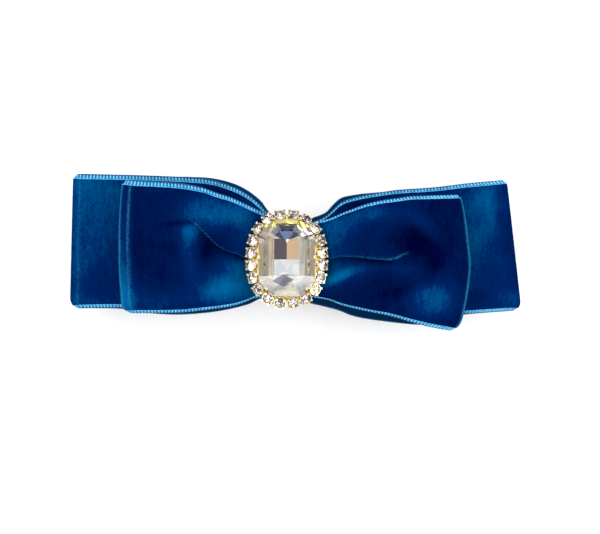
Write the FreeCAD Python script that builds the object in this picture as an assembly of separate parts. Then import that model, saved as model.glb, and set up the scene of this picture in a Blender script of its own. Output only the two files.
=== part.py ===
"""Rhinestone hair clip: a two-layer velvet ribbon bow with a crystal brooch on a sprung barrette.

The clip lies on its closing arm, bow upwards. Millimetres and degrees.
X runs along the bow, Y across the ribbon, Z up from the surface it lies on.
"""
import FreeCAD
import Part
import math
import os

from FreeCAD import Vector

os.makedirs("parts", exist_ok=True)

# ---------------------------------------------------------------- driving dimensions
CLIP_X = -2.5            # middle of the barrette and of the bow's pinch
CLIP_Y = -1.0

# barrette
BASE_LENGTH = 80.0
BASE_WIDTH = 9.0
BASE_THICK = 0.8
BASE_CROWN_Z = 13.0      # underside of the base at its middle
BASE_RISE = 7.0          # how much the base arches
HINGE_U = -38.0          # pin position along the clip
HINGE_Z = 3.4
PIN_R = 0.8
PIN_CLEARANCE = 0.05
EAR_THICK = 0.8
EAR_R = 1.9
SEW_HOLE_R = 0.8
SEW_HOLE_U = 33.0

# closing arm
ARM_WIDTH = 6.8
ARM_TIP_U = 41.0
ARM_CROWN_Z = 3.0        # top of the arm at its middle
ARM_END_Z = 1.6
ARM_FOOT_U = 34.0        # the feet start here
ARM_WEB = 0.6
ARM_FLANGE = 0.6
LUG_THICK = 1.0
LUG_R = 1.5

# tension strip
STRIP_WIDTH = 5.4
STRIP_NECK = 4.0
STRIP_THICK = 0.35
STRIP_CROWN_Z = 9.4
STRIP_RADIUS = 141.5
STRIP_END_U = 30.0

# catch
CATCH_U = 38.0
CATCH_Z = 5.2            # underside of the catch plate
RIVET_R = 0.9
TAB_LENGTH = 2.2
TAB_THICK = 0.4
TAB_Y = 1.4              # middle of each leg, sprung in
TAB_AXIS_Z = 4.6
WINDOW_HALF_U = 1.6
WINDOW_HALF_Y = 2.2
LEDGE = 0.65

# felt and ribbons
FELT_THICK = 1.2
FELT_WIDTH = 10.0
FELT_HALF = 30.0
RIBBON_WIDTH = 38.0
RIBBON_WALL = 1.0
PINCH_WIDTH = 24.0
PINCH_Y = -1.5
PINCH_HALF = 5.5         # length of the straight pinched part, each side
RISE_END = 26.0          # each loop stands highest here
CORNER_R = 2.5
THREAD_THICK = 0.6
WRAP_GAP = 0.65
WRAP_THICK = 0.8
WRAP_LENGTH = 10.0

# brooch
BROOCH_Y = -2.7
BROOCH_Z = 23.7          # underside of the plate at its middle
BROOCH_TILT = 10.0
PLATE_HALF_X = 10.2
PLATE_HALF_Y = 12.9
PLATE_THICK = 0.8
RING_HALF_X = 9.4        # feet of the rhinestone cups
RING_HALF_Y = 12.1
RING_POWER = 2.3         # 2 would be a plain ellipse
STONE_COUNT = 20
STONE_R = 1.55
CUP_R = 1.72
CUP_LEAN = 27.0
SEAT_Z = 2.05            # girdle of a rhinestone above the foot of its cup
CRYSTAL_HALF_X = 8.0
CRYSTAL_HALF_Y = 11.2
CRYSTAL_CORNER = 4.2
CRYSTAL_GIRDLE_Z = 4.2   # above the plate's underside

BASE_RADIUS = (BASE_LENGTH / 2 - 2) ** 2 / (2 * BASE_RISE) + BASE_RISE / 2


# ---------------------------------------------------------------- helpers
def save(name, shape):
    """Write one closed solid."""
    shape = shape.removeSplitter()
    if len(shape.Solids) != 1 or not shape.isValid():
        raise ValueError("%s has %d solids, valid %s" % (name, len(shape.Solids), shape.isValid()))
    solid = shape.Solids[0]
    solid.exportStep("parts/%s.step" % name)
    b = solid.BoundBox
    print("%-20s %8.1f mm3  x %6.1f %6.1f  y %6.1f %6.1f  z %6.2f %6.2f" % (
        name, solid.Volume, b.XMin, b.XMax, b.YMin, b.YMax, b.ZMin, b.ZMax))


def box(x0, x1, y0, y1, z0, z1):
    return Part.makeBox(x1 - x0, y1 - y0, z1 - z0, Vector(x0, y0, z0))


def rod_y(r, x, z, y0, y1):
    """A cylinder along Y."""
    return Part.makeCylinder(r, y1 - y0, Vector(x, y0, z), Vector(0, 1, 0))


def smooth(t):
    t = min(max(t, 0.0), 1.0)
    return t * t * (3 - 2 * t)


def on_arc(u, crown_z, radius):
    """Point of an arch whose top is at crown_z."""
    return Vector(u, 0, crown_z - radius + math.sqrt(radius ** 2 - u ** 2))


def arch(u0, u1, crown_z, radius, thick, width):
    """A strip bent to an arch: crown_z is its underside at u = 0."""
    mid = (u0 + u1) / 2
    outer = radius + thick
    low = [on_arc(u, crown_z, radius) for u in (u0, mid, u1)]
    high = [on_arc(u, crown_z + thick, outer) for u in (u0, mid, u1)]
    edges = [Part.Arc(low[0], low[1], low[2]).toShape(),
             Part.makeLine(low[2], high[2]),
             Part.Arc(high[2], high[1], high[0]).toShape(),
             Part.makeLine(high[0], low[0])]
    face = Part.Face(Part.Wire(edges))
    face.translate(Vector(0, -width / 2, 0))
    return face.extrude(Vector(0, width, 0))


def rounded_plan(u0, u1, width, r, z0, z1):
    """An upright prism, a rectangle with rounded corners."""
    body = box(u0, u1, -width / 2, width / 2, z0, z1)
    upright = [e for e in body.Edges if abs(e.Vertexes[0].Z - e.Vertexes[-1].Z) > (z1 - z0) / 2]
    return body.makeFillet(r, upright)


def at_clip(shape):
    """From the clip's own coordinates to the part's."""
    moved = shape.copy()
    moved.translate(Vector(CLIP_X, CLIP_Y, 0))
    return moved


# ---------------------------------------------------------------- barrette
def barrette_base():
    half = BASE_LENGTH / 2
    body = arch(-half, half, BASE_CROWN_Z, BASE_RADIUS, BASE_THICK, BASE_WIDTH)
    body = body.common(rounded_plan(-half, half, BASE_WIDTH, 3.0, 0, 20))
    under_top = rod_y(BASE_RADIUS + BASE_THICK, 0, BASE_CROWN_Z - BASE_RADIUS, -20, 20)
    for side in (-1, 1):
        y0 = min(side * (BASE_WIDTH / 2 - EAR_THICK), side * BASE_WIDTH / 2)
        y1 = y0 + EAR_THICK
        ear = rod_y(EAR_R, HINGE_U, HINGE_Z, y0, y1)
        ear = ear.fuse(box(HINGE_U - EAR_R + 0.3, HINGE_U + EAR_R, y0, y1, HINGE_Z, 8.0))
        ear = ear.common(under_top)
        body = body.fuse(ear)
    body = body.cut(rod_y(PIN_R, HINGE_U, HINGE_Z, -10, 10))
    for u in (-SEW_HOLE_U, SEW_HOLE_U):
        body = body.cut(Part.makeCylinder(SEW_HOLE_R, 30, Vector(u, 0, 0)))
    rivet_hole = Part.makeCylinder(RIVET_R, 30, Vector(CATCH_U, 0, 0))
    return body.cut(rivet_hole)


def hinge_pin():
    """Fixed in the ears, with a small head outside each."""
    half = BASE_WIDTH / 2
    pin = rod_y(PIN_R, HINGE_U, HINGE_Z, -half, half)
    for y0 in (-half - 0.4, half):
        pin = pin.fuse(rod_y(PIN_R + 0.45, HINGE_U, HINGE_Z, y0, y0 + 0.4))
    return pin


def catch_plate():
    """Bracket under the free end of the base: level below, arched to fit above."""
    plate = box(CATCH_U - 2.2, CATCH_U + 1.9, -3.8, 3.8, CATCH_Z, 12)
    plate = plate.common(rod_y(BASE_RADIUS, 0, BASE_CROWN_Z - BASE_RADIUS, -20, 20))
    return plate.cut(Part.makeCylinder(RIVET_R, 30, Vector(CATCH_U, 0, 0)))


def catch_rivet():
    """Holds the catch plate to the base."""
    top = on_arc(CATCH_U, BASE_CROWN_Z + BASE_THICK, BASE_RADIUS + BASE_THICK).z
    shank = Part.makeCylinder(RIVET_R, top + 0.6 - CATCH_Z, Vector(CATCH_U, 0, CATCH_Z))
    head = Part.makeCone(1.7, 1.0, 0.55, Vector(CATCH_U, 0, top + 0.05))
    over_base = head.cut(rod_y(BASE_RADIUS + BASE_THICK, 0, BASE_CROWN_Z - BASE_RADIUS, -20, 20))
    return shank.fuse(over_base)


def catch_tab(side):
    """Sprung leg with a barb, and the wing the finger squeezes. Drawn squeezed in."""
    half = TAB_LENGTH / 2
    inner = TAB_Y - TAB_THICK / 2
    outer = TAB_Y + TAB_THICK / 2
    leg = box(CATCH_U - half, CATCH_U + half, inner, outer, 0.25, TAB_AXIS_Z)
    pivot = Part.makeCylinder(0.45, 2 * half, Vector(CATCH_U - half, TAB_Y, TAB_AXIS_Z), Vector(1, 0, 0))
    bridge = box(CATCH_U - half, CATCH_U + half, inner, 5.4, TAB_AXIS_Z - 0.2, TAB_AXIS_Z + 0.2)
    wing = box(CATCH_U - 1.8, CATCH_U + 1.8, 5.0, 5.4, 2.4, TAB_AXIS_Z + 0.2)
    corners = [Vector(CATCH_U - half, outer, 0.25), Vector(CATCH_U - half, outer + 0.45, 0.8),
               Vector(CATCH_U - half, outer, 0.85)]
    barb = Part.Face(Part.makePolygon(corners + corners[:1])).extrude(Vector(TAB_LENGTH, 0, 0))
    tab = leg.fuse([pivot, bridge, wing, barb])
    if side < 0:
        tab = tab.mirror(Vector(0, 0, 0), Vector(0, 1, 0))
    return tab


def barrette_arm():
    """Arched channel, open below, with a flat foot at each end and lugs on the pin."""
    foot, tip = ARM_FOOT_U, ARM_TIP_U
    depth = ARM_END_Z
    top_mid = Vector(0, 0, ARM_CROWN_Z)
    low_mid = Vector(0, 0, ARM_CROWN_Z - depth)
    left, right = -foot - 1.5, tip
    corners = [Vector(left, 0, 0), Vector(-foot, 0, 0), Vector(foot, 0, 0), Vector(right, 0, 0)]
    tops = [c + Vector(0, 0, depth) for c in corners]
    edges = [Part.makeLine(corners[0], corners[1]),
             Part.Arc(corners[1], low_mid, corners[2]).toShape(),
             Part.makeLine(corners[2], corners[3]),
             Part.makeLine(corners[3], tops[3]),
             Part.makeLine(tops[3], tops[2]),
             Part.Arc(tops[2], top_mid, tops[1]).toShape(),
             Part.makeLine(tops[1], tops[0]),
             Part.makeLine(tops[0], corners[0])]
    face = Part.Face(Part.Wire(edges))
    face.translate(Vector(0, -ARM_WIDTH / 2, 0))
    body = face.extrude(Vector(0, ARM_WIDTH, 0))

    # the channel: everything under the web, between the feet
    web_low = [t - Vector(0, 0, ARM_WEB) for t in tops]
    hollow_edges = [Part.Arc(web_low[1], top_mid - Vector(0, 0, ARM_WEB), web_low[2]).toShape(),
                    Part.makeLine(web_low[2], web_low[2] - Vector(0, 0, 3)),
                    Part.makeLine(web_low[2] - Vector(0, 0, 3), web_low[1] - Vector(0, 0, 3)),
                    Part.makeLine(web_low[1] - Vector(0, 0, 3), web_low[1])]
    hollow_width = ARM_WIDTH - 2 * ARM_FLANGE
    hollow = Part.Face(Part.Wire(hollow_edges))
    hollow.translate(Vector(0, -hollow_width / 2, 0))
    body = body.cut(hollow.extrude(Vector(0, hollow_width, 0)))

    # rounded free end and the window the catch drops through
    body = body.common(rounded_plan(-60, tip, ARM_WIDTH, 3.0, -1, 10))
    w, y = WINDOW_HALF_U, WINDOW_HALF_Y
    body = body.cut(box(CATCH_U - w, CATCH_U + w, -y, y, -1, 3))
    body = body.cut(box(CATCH_U - w, CATCH_U + w, -y - LEDGE, y + LEDGE, -1, 1.0))

    # lugs either side of the tension strip's eye
    for side in (-1, 1):
        y0 = min(side * (ARM_WIDTH / 2 - LUG_THICK), side * ARM_WIDTH / 2)
        y1 = y0 + LUG_THICK
        lug = rod_y(LUG_R, HINGE_U, HINGE_Z, y0, y1)
        outline = [Vector(HINGE_U - LUG_R, y0, HINGE_Z), Vector(HINGE_U - 0.9, y0, 0),
                   Vector(-ARM_FOOT_U, y0, 0), Vector(-ARM_FOOT_U, y0, ARM_END_Z),
                   Vector(-ARM_FOOT_U - 1.5, y0, ARM_END_Z),
                   Vector(HINGE_U + LUG_R, y0, HINGE_Z)]
        plate = Part.Face(Part.makePolygon(outline + outline[:1])).extrude(Vector(0, LUG_THICK, 0))
        body = body.fuse(lug.fuse(plate))
    return body.cut(rod_y(PIN_R + PIN_CLEARANCE, HINGE_U, HINGE_Z, -10, 10))


def tension_strip():
    """Thin spring strip, free at one end, its eye on the hinge pin."""
    wide = arch(-33, STRIP_END_U, STRIP_CROWN_Z, STRIP_RADIUS, STRIP_THICK, STRIP_WIDTH)
    wide = wide.common(rounded_plan(-33, STRIP_END_U, STRIP_WIDTH, 1.9, 0, 20))
    neck = arch(HINGE_U, -30, STRIP_CROWN_Z, STRIP_RADIUS, STRIP_THICK, STRIP_NECK)
    eye = rod_y(LUG_R, HINGE_U, HINGE_Z, -STRIP_NECK / 2, STRIP_NECK / 2)
    strip = wide.fuse([neck, eye])
    return strip.cut(rod_y(PIN_R + PIN_CLEARANCE, HINGE_U, HINGE_Z, -10, 10))


def felt_lining():
    felt = arch(-FELT_HALF, FELT_HALF, BASE_CROWN_Z + BASE_THICK, BASE_RADIUS + BASE_THICK,
                FELT_THICK, FELT_WIDTH)
    return felt.common(rounded_plan(-FELT_HALF, FELT_HALF, FELT_WIDTH, 2.0, 0, 30))


# ---------------------------------------------------------------- ribbon bows
class Bow:
    """One looped layer. u is measured from the pinch; side -1 is left, +1 is right."""

    def __init__(self, ends, end_y, flare_end, pinch_z, crest_z, tip_z, fold_r):
        self.ends = ends            # reach of the left and right loops
        self.end_y = end_y          # Y of each loop's centreline at its end
        self.flare_end = flare_end  # the ribbon is at full width from here out
        self.pinch_z = pinch_z      # underside and top at the pinch
        self.crest_z = crest_z      # underside and top where the loop stands highest
        self.tip_z = tip_z          # centre of the fold at the end
        self.fold_r = fold_r

    def height(self, side, u, top):
        """Z of the loop's underside or top at u."""
        start = self.pinch_z[top]
        crest = self.crest_z[top]
        tip = self.tip_z + (self.fold_r if top else -self.fold_r)
        reach = self.ends[side] - self.fold_r
        if u < RISE_END:
            return start + (crest - start) * smooth((u - PINCH_HALF) / (RISE_END - PINCH_HALF))
        return crest + (tip - crest) * smooth((u - RISE_END) / (reach - RISE_END))

    def flare(self, u):
        """0 at the pinch, 1 where the ribbon is flat across."""
        return smooth((u - PINCH_HALF) / (self.flare_end - PINCH_HALF))

    def centre(self, side, u):
        return PINCH_Y + (self.end_y[side] - PINCH_Y) * self.flare(u)

    def half_width(self, u):
        return (PINCH_WIDTH + (RIBBON_WIDTH - PINCH_WIDTH) * self.flare(u)) / 2

    def section(self, side, inset):
        """Points round one loop in XZ, from the pinch along the top and back underneath."""
        reach = self.ends[side] - self.fold_r
        first = PINCH_HALF
        if inset:
            # the hollow starts where the two layers have come apart
            while self.height(side, first, 1) - self.height(side, first, 0) < 2 * inset + 0.5:
                first += 0.5
        steps = 12
        along = [first + (reach - first) * i / steps for i in range(steps + 1)]
        top = [Vector(side * u, 0, self.height(side, u, 1) - inset) for u in along]
        low = [Vector(side * u, 0, self.height(side, u, 0) + inset) for u in along]
        fold = []
        for i in range(1, 8):
            a = math.radians(90 - 22.5 * i)
            r = self.fold_r - inset
            fold.append(Vector(side * (reach + r * math.cos(a)), 0, self.tip_z + r * math.sin(a)))
        return top + fold + low[::-1]

    def plan(self):
        """The outline seen from above, as an upright prism with rounded corners."""
        edges = []
        for edge in (-1, 1):
            points = []
            for side in (-1, 1):
                reach = self.ends[side] - CORNER_R
                spots = [PINCH_HALF + (reach - PINCH_HALF) * i / 12 for i in range(13)]
                row = [Vector(side * u, self.centre(side, u) + edge * self.half_width(u), 0)
                       for u in spots]
                points = points + row if side > 0 else row[::-1]
            curve = Part.BSplineCurve()
            curve.interpolate(points)
            edges.append(curve.toShape())
        for side in (-1, 1):
            end = self.ends[side]
            corners = []
            for edge in (-1, 1):
                y = self.end_y[side] + edge * RIBBON_WIDTH / 2
                inner = CORNER_R * (1 - math.sqrt(0.5))
                corner = [Vector(side * (end - CORNER_R), y, 0),
                          Vector(side * (end - inner), y - edge * inner, 0),
                          Vector(side * end, y - edge * CORNER_R, 0)]
                edges.append(Part.Arc(corner[0], corner[1], corner[2]).toShape())
                corners.append(corner[2])
            edges.append(Part.makeLine(corners[0], corners[1]))
        outline = Part.Wire(Part.__sortEdges__(edges))
        prism = Part.Face(outline).extrude(Vector(0, 0, 60))
        prism.translate(Vector(CLIP_X, 0, 0))
        return prism

    def solid(self):
        right = self.section(1, 0)
        left = self.section(-1, 0)
        curve = Part.BSplineCurve()
        curve.interpolate(right + left[::-1], PeriodicFlag=True)
        outer = Part.Face(Part.Wire(curve.toShape()))
        outer.translate(Vector(CLIP_X, -30, 0))
        body = outer.extrude(Vector(0, 60, 0))
        for side in (-1, 1):
            points = self.section(side, RIBBON_WALL)
            curve = Part.BSplineCurve()
            curve.interpolate(points)
            mouth = Part.makeLine(points[-1], points[0])
            hollow = Part.Face(Part.Wire([curve.toShape(), mouth]))
            hollow.translate(Vector(CLIP_X, -30, 0))
            body = body.cut(hollow.extrude(Vector(0, 60, 0)))
        return body.common(self.plan())


BACK_BOW = Bow(ends={-1: 62.7, 1: 67.7}, end_y={-1: 2.9, 1: 1.0}, flare_end=19.0,
               pinch_z=(15.05, 17.25), crest_z=(14.0, 20.0), tip_z=12.9, fold_r=2.7)
FRONT_BOW = Bow(ends={-1: 48.5, 1: 53.0}, end_y={-1: 1.2, 1: -3.0}, flare_end=26.0,
                pinch_z=(17.4, 19.6), crest_z=(20.5, 27.3), tip_z=22.5, fold_r=3.4)


# ---------------------------------------------------------------- binding round the pinch
def band_round_pinch(gap, thick, length):
    """A band round both ribbons and the base: its inside is gap away from them."""
    side = PINCH_WIDTH / 2 + 0.05
    base_half = BASE_WIDTH / 2 + 0.15
    top = FRONT_BOW.pinch_z[1] + 0.05
    inner = [Vector(0, PINCH_Y - side, 15.0), Vector(0, PINCH_Y - side, top),
             Vector(0, PINCH_Y + side, top), Vector(0, PINCH_Y + side, 15.0),
             Vector(0, CLIP_Y + base_half, BASE_CROWN_Z - 0.2),
             Vector(0, CLIP_Y - base_half, BASE_CROWN_Z - 0.2)]
    wire = Part.makePolygon(inner + inner[:1])
    outside = Part.Face(wire.makeOffset2D(gap + thick))
    inside = Part.Face(wire.makeOffset2D(gap)) if gap else Part.Face(wire)
    ring = outside.cut(inside)
    ring.translate(Vector(CLIP_X - length / 2, 0, 0))
    return ring.extrude(Vector(length, 0, 0))


# ---------------------------------------------------------------- brooch, built level
def level_to_part(shape):
    """Tilt the level brooch and set it on the pinch."""
    placed = shape.copy()
    placed.rotate(Vector(0, 0, 0), Vector(1, 0, 0), -BROOCH_TILT)
    placed.translate(Vector(CLIP_X, BROOCH_Y, BROOCH_Z))
    return placed


def super_ellipse(a, b, angle):
    """Point and outward normal of a rounded oval."""
    c, s = math.cos(angle), math.sin(angle)
    x = a * math.copysign(abs(c) ** (2 / RING_POWER), c)
    y = b * math.copysign(abs(s) ** (2 / RING_POWER), s)
    nx = math.copysign(abs(x / a) ** (RING_POWER - 1), x) / a
    ny = math.copysign(abs(y / b) ** (RING_POWER - 1), y) / b
    return x, y, math.atan2(ny, nx)


def ring_spots():
    """Evenly spaced cup feet round the oval; none at the very bottom."""
    fine = 3600
    path = [super_ellipse(RING_HALF_X, RING_HALF_Y, -math.pi / 2 + 2 * math.pi * i / fine)
            for i in range(fine + 1)]
    run = [0.0]
    for p, q in zip(path, path[1:]):
        run.append(run[-1] + math.hypot(q[0] - p[0], q[1] - p[1]))
    spots = []
    for k in range(STONE_COUNT):
        target = run[-1] * (k + 0.5) / STONE_COUNT
        i = min(j for j, d in enumerate(run) if d >= target)
        spots.append(path[i])
    return spots


def brooch_plate():
    points = []
    for i in range(48):
        x, y, _ = super_ellipse(PLATE_HALF_X, PLATE_HALF_Y, 2 * math.pi * i / 48)
        points.append(Vector(x, y, 0))
    curve = Part.BSplineCurve()
    curve.interpolate(points, PeriodicFlag=True)
    return Part.Face(Part.Wire(curve.toShape())).extrude(Vector(0, 0, PLATE_THICK))


def glue_pad():
    """Wedge of glue between the centre wrap and the tilted plate."""
    top = FRONT_BOW.pinch_z[1] + 0.05 + WRAP_GAP + WRAP_THICK
    pad = rounded_plan(-4.6, 4.6, 18, 2.5, top, top + 12)
    pad.translate(Vector(CLIP_X, BROOCH_Y - 1.0, 0))
    under_plate = level_to_part(box(-30, 30, -30, 30, -30, 0))
    return pad.common(under_plate)


def octagon(half_x, half_y, corner, z):
    """Rectangle with its corners cut at 45 degrees, anticlockwise from the right side."""
    x, y, c = half_x, half_y, corner
    flat = [(x, c - y), (x, y - c), (x - c, y), (c - x, y),
            (-x, y - c), (-x, c - y), (c - x, -y), (x - c, -y)]
    return [Vector(px, py, z) for px, py in flat]


def facet(points):
    return Part.Face(Part.makePolygon(list(points) + [points[0]]))


def belt(lower, upper):
    """Flat facets joining two rings of equally many corners."""
    n = len(lower)
    return [facet([lower[i], lower[(i + 1) % n], upper[(i + 1) % n], upper[i]]) for i in range(n)]


def stone_solid(faces):
    shell = Part.makeShell(faces)
    shell.sewShape()
    return Part.makeSolid(shell)


def centre_crystal():
    """Step-cut octagon: two crown steps, a girdle, and a pavilion closing on a keel."""
    x, y, c, z = CRYSTAL_HALF_X, CRYSTAL_HALF_Y, CRYSTAL_CORNER, CRYSTAL_GIRDLE_Z
    girdle_low = octagon(x, y, c, z)
    girdle_high = octagon(x, y, c, z + 0.4)
    crown_step = octagon(x - 1.9, y - 1.5, c - 0.9, z + 1.5)
    table = octagon(x - 4.0, y - 3.3, c - 1.9, z + 2.2)
    pavilion = octagon(x - 3.2, y - 3.4, c - 1.6, z - 1.7)
    keel = [Vector(0, -4.6, z - 3.0), Vector(0, 4.6, z - 3.0)]
    faces = belt(girdle_low, girdle_high) + belt(girdle_high, crown_step)
    faces += belt(crown_step, table) + belt(pavilion, girdle_low)
    faces.append(facet(table))
    p = pavilion
    faces.append(facet([p[0], p[1], keel[1], keel[0]]))
    faces.append(facet([p[4], p[5], keel[0], keel[1]]))
    for i in (1, 2, 3):
        faces.append(facet([p[i], p[i + 1], keel[1]]))
    for i in (5, 6, 7):
        faces.append(facet([p[i], p[(i + 1) % 8], keel[0]]))
    return stone_solid(faces)


def crystal_cradle():
    """Gallery wall under the girdle, with a claw at each cut corner and each long side."""
    low, high = PLATE_THICK, CRYSTAL_GIRDLE_Z - 0.35
    wall_x, wall_y = CRYSTAL_HALF_X - 0.45, CRYSTAL_HALF_Y - 0.45
    outer = facet(octagon(wall_x, wall_y, CRYSTAL_CORNER - 0.2, low))
    inner = facet(octagon(wall_x - 0.45, wall_y - 0.45, CRYSTAL_CORNER - 0.4, low))
    wall = outer.cut(inner).extrude(Vector(0, 0, high - low))
    hx, hy, c = CRYSTAL_HALF_X, CRYSTAL_HALF_Y, CRYSTAL_CORNER
    corner_reach = (hx + hy - c) / math.sqrt(2)
    claws = []
    for sx in (-1, 1):
        for sy in (-1, 1):
            mid = Vector(sx * (hx - c / 2), sy * (hy - c / 2), 0)
            claws.append((math.degrees(math.atan2(sy, sx)), mid))
        claws.append((0 if sx > 0 else 180, Vector(sx * hx, 0, 0)))
    for angle, mid in claws:
        g = CRYSTAL_GIRDLE_Z
        post = box(0.05, 0.33, -0.5, 0.5, high - 0.5, g + 1.05)
        foot = box(-0.55, 0.33, -0.5, 0.5, high - 0.9, high)
        tip = box(-0.35, 0.33, -0.45, 0.45, g + 0.82, g + 1.15)
        claw = post.fuse([foot, tip])
        claw.rotate(Vector(0, 0, 0), Vector(0, 0, 1), angle)
        claw.translate(mid)
        wall = wall.fuse(claw)
    clearance = stone_clearance()
    return wall.cut(clearance)


def stone_clearance():
    """The crystal, a hair larger, to keep its setting off it."""
    grown = centre_crystal()
    grow = FreeCAD.Matrix()
    grow.scale(Vector(1.006, 1.006, 1.0))
    return grown.transformGeometry(grow)


def chaton():
    """Round stone: eight-sided table, star and kite facets, pointed underside. Girdle at z = 0."""
    def ring(r, z, n, turn=0.0):
        return [Vector(r * math.cos(2 * math.pi * (i + turn) / n),
                       r * math.sin(2 * math.pi * (i + turn) / n), z) for i in range(n)]
    table = ring(0.92, 0.72, 8)
    high = ring(STONE_R, 0.12, 16)
    low = ring(STONE_R, 0.0, 16)
    point = Vector(0, 0, -1.05)
    faces = [facet(table)] + belt(low, high)
    for k in range(8):
        nxt = (k + 1) % 8
        a, b, c = high[2 * k - 1], high[2 * k], high[2 * k + 1]
        faces.append(facet([table[k], a, b]))
        faces.append(facet([table[k], b, c]))
        faces.append(facet([table[k], c, table[nxt]]))
    for i in range(16):
        faces.append(facet([low[i], low[(i + 1) % 16], point]))
    return stone_solid(faces)


def cup():
    """Four-claw cup, upright, its foot at z = 0 with a stem below to be trimmed."""
    profile = [(0, -0.8), (0.95, -0.8), (0.95, 0.25), (CUP_R - 0.1, 1.25), (CUP_R, 1.95),
               (CUP_R - 0.2, 1.95), (0.25, 0.85), (0, 0.85)]
    points = [Vector(r, 0, z) for r, z in profile]
    body = Part.Face(Part.makePolygon(points + points[:1])).revolve(
        Vector(0, 0, 0), Vector(0, 0, 1), 360)
    for k in range(4):
        post = box(STONE_R + 0.05, STONE_R + 0.33, -0.27, 0.27, 1.4, SEAT_Z + 0.62)
        tip = box(STONE_R - 0.32, STONE_R + 0.33, -0.24, 0.24, SEAT_Z + 0.48, SEAT_Z + 0.68)
        claw = post.fuse(tip)
        claw.rotate(Vector(0, 0, 0), Vector(0, 0, 1), 45 + 90 * k)
        body = body.fuse(claw)
    return body


def on_ring(shape, spot):
    """Lean a cup or stone outwards and stand it on its place on the plate."""
    x, y, normal = spot
    placed = shape.copy()
    placed.rotate(Vector(0, 0, 0), Vector(0, 1, 0), CUP_LEAN)
    placed.rotate(Vector(0, 0, 0), Vector(0, 0, 1), math.degrees(normal))
    placed.translate(Vector(x, y, PLATE_THICK))
    return placed


# ---------------------------------------------------------------- build
save("barrette_base", at_clip(barrette_base()))
save("hinge_pin", at_clip(hinge_pin()))
save("catch_plate", at_clip(catch_plate()))
save("catch_rivet", at_clip(catch_rivet()))
save("catch_tab_front", at_clip(catch_tab(-1)))
save("catch_tab_rear", at_clip(catch_tab(1)))
save("barrette_arm", at_clip(barrette_arm()))
save("tension_strip", at_clip(tension_strip()))
save("felt_lining", at_clip(felt_lining()))
save("back_bow", BACK_BOW.solid())
save("front_bow", FRONT_BOW.solid())
save("binding_thread", band_round_pinch(0.0, THREAD_THICK, 2.2))
save("centre_wrap", band_round_pinch(WRAP_GAP, WRAP_THICK, WRAP_LENGTH))
save("glue_pad", glue_pad())
save("brooch_plate", level_to_part(brooch_plate()))
save("crystal_cradle", level_to_part(crystal_cradle()))
save("centre_crystal", level_to_part(centre_crystal()))

above_plate = box(-40, 40, -40, 40, PLATE_THICK, 40)
one_cup = cup()
one_stone = chaton()
one_stone.translate(Vector(0, 0, SEAT_Z))
for number, spot in enumerate(ring_spots(), 1):
    standing = on_ring(one_cup, spot).common(above_plate)
    save("rhinestone_cup_%02d" % number, level_to_part(standing))
    save("rhinestone_%02d" % number, level_to_part(on_ring(one_stone, spot)))
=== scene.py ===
"""Looks for the rhinestone hair clip: velvet ribbon bow, crystal brooch and nickel barrette."""

import math

import bmesh
import bpy
from bpy.props import FloatProperty, FloatVectorProperty, PointerProperty
from mathutils import Matrix, Vector, noise


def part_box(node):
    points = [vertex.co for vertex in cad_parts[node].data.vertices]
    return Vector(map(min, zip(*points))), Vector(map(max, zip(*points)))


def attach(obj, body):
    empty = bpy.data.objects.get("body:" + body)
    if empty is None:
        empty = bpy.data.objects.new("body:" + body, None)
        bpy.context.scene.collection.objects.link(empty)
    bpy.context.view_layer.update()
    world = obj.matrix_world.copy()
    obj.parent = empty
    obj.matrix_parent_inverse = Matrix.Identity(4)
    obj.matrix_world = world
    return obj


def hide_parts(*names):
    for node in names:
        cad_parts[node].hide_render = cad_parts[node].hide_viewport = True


bl_info = {
    "name": "Rhinestone Hair Clip",
    "version": (1, 0, 0),
    "blender": (4, 5, 0),
    "location": "View3D > Sidebar > Hair Clip",
    "description": "Builds the velvet ribbon bow, crystal brooch and barrette of a hair clip",
    "category": "Add Mesh",
}

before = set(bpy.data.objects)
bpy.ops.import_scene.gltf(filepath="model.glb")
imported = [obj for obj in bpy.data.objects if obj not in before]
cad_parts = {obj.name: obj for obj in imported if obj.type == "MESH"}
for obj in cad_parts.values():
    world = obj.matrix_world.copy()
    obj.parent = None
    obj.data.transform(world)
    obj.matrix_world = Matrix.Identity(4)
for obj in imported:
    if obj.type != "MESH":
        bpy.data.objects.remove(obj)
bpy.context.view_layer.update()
MM = 0.001
ROOT = "bow_and_base"


def middle(node):
    low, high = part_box(node)
    return (Vector(low) + Vector(high)) / 2 / MM


CLIP_X = middle("centre_wrap").x
PINCH_Y = middle("centre_wrap").y
CLIP_Y = middle("tension_strip").y
BROOCH_LEAN = math.radians(10.0)
CUP_LEAN = math.radians(27.0)
WRAP_WIDTH = 10.0
VIEW_CENTRE = Vector((0.0013, -0.0046, 0.0145))
LIGHTS_AIM = Vector((0.0, 0.0, 0.01))


# ---- settings
def colour(name, text, value):
    return FloatVectorProperty(name=name, description=text, default=value, subtype="COLOR",
                               size=3, min=0.0, max=1.0)


def measure(name, text, value, low, high):
    return FloatProperty(name=name, description=text, default=value, unit="LENGTH", min=low, max=high)


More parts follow.
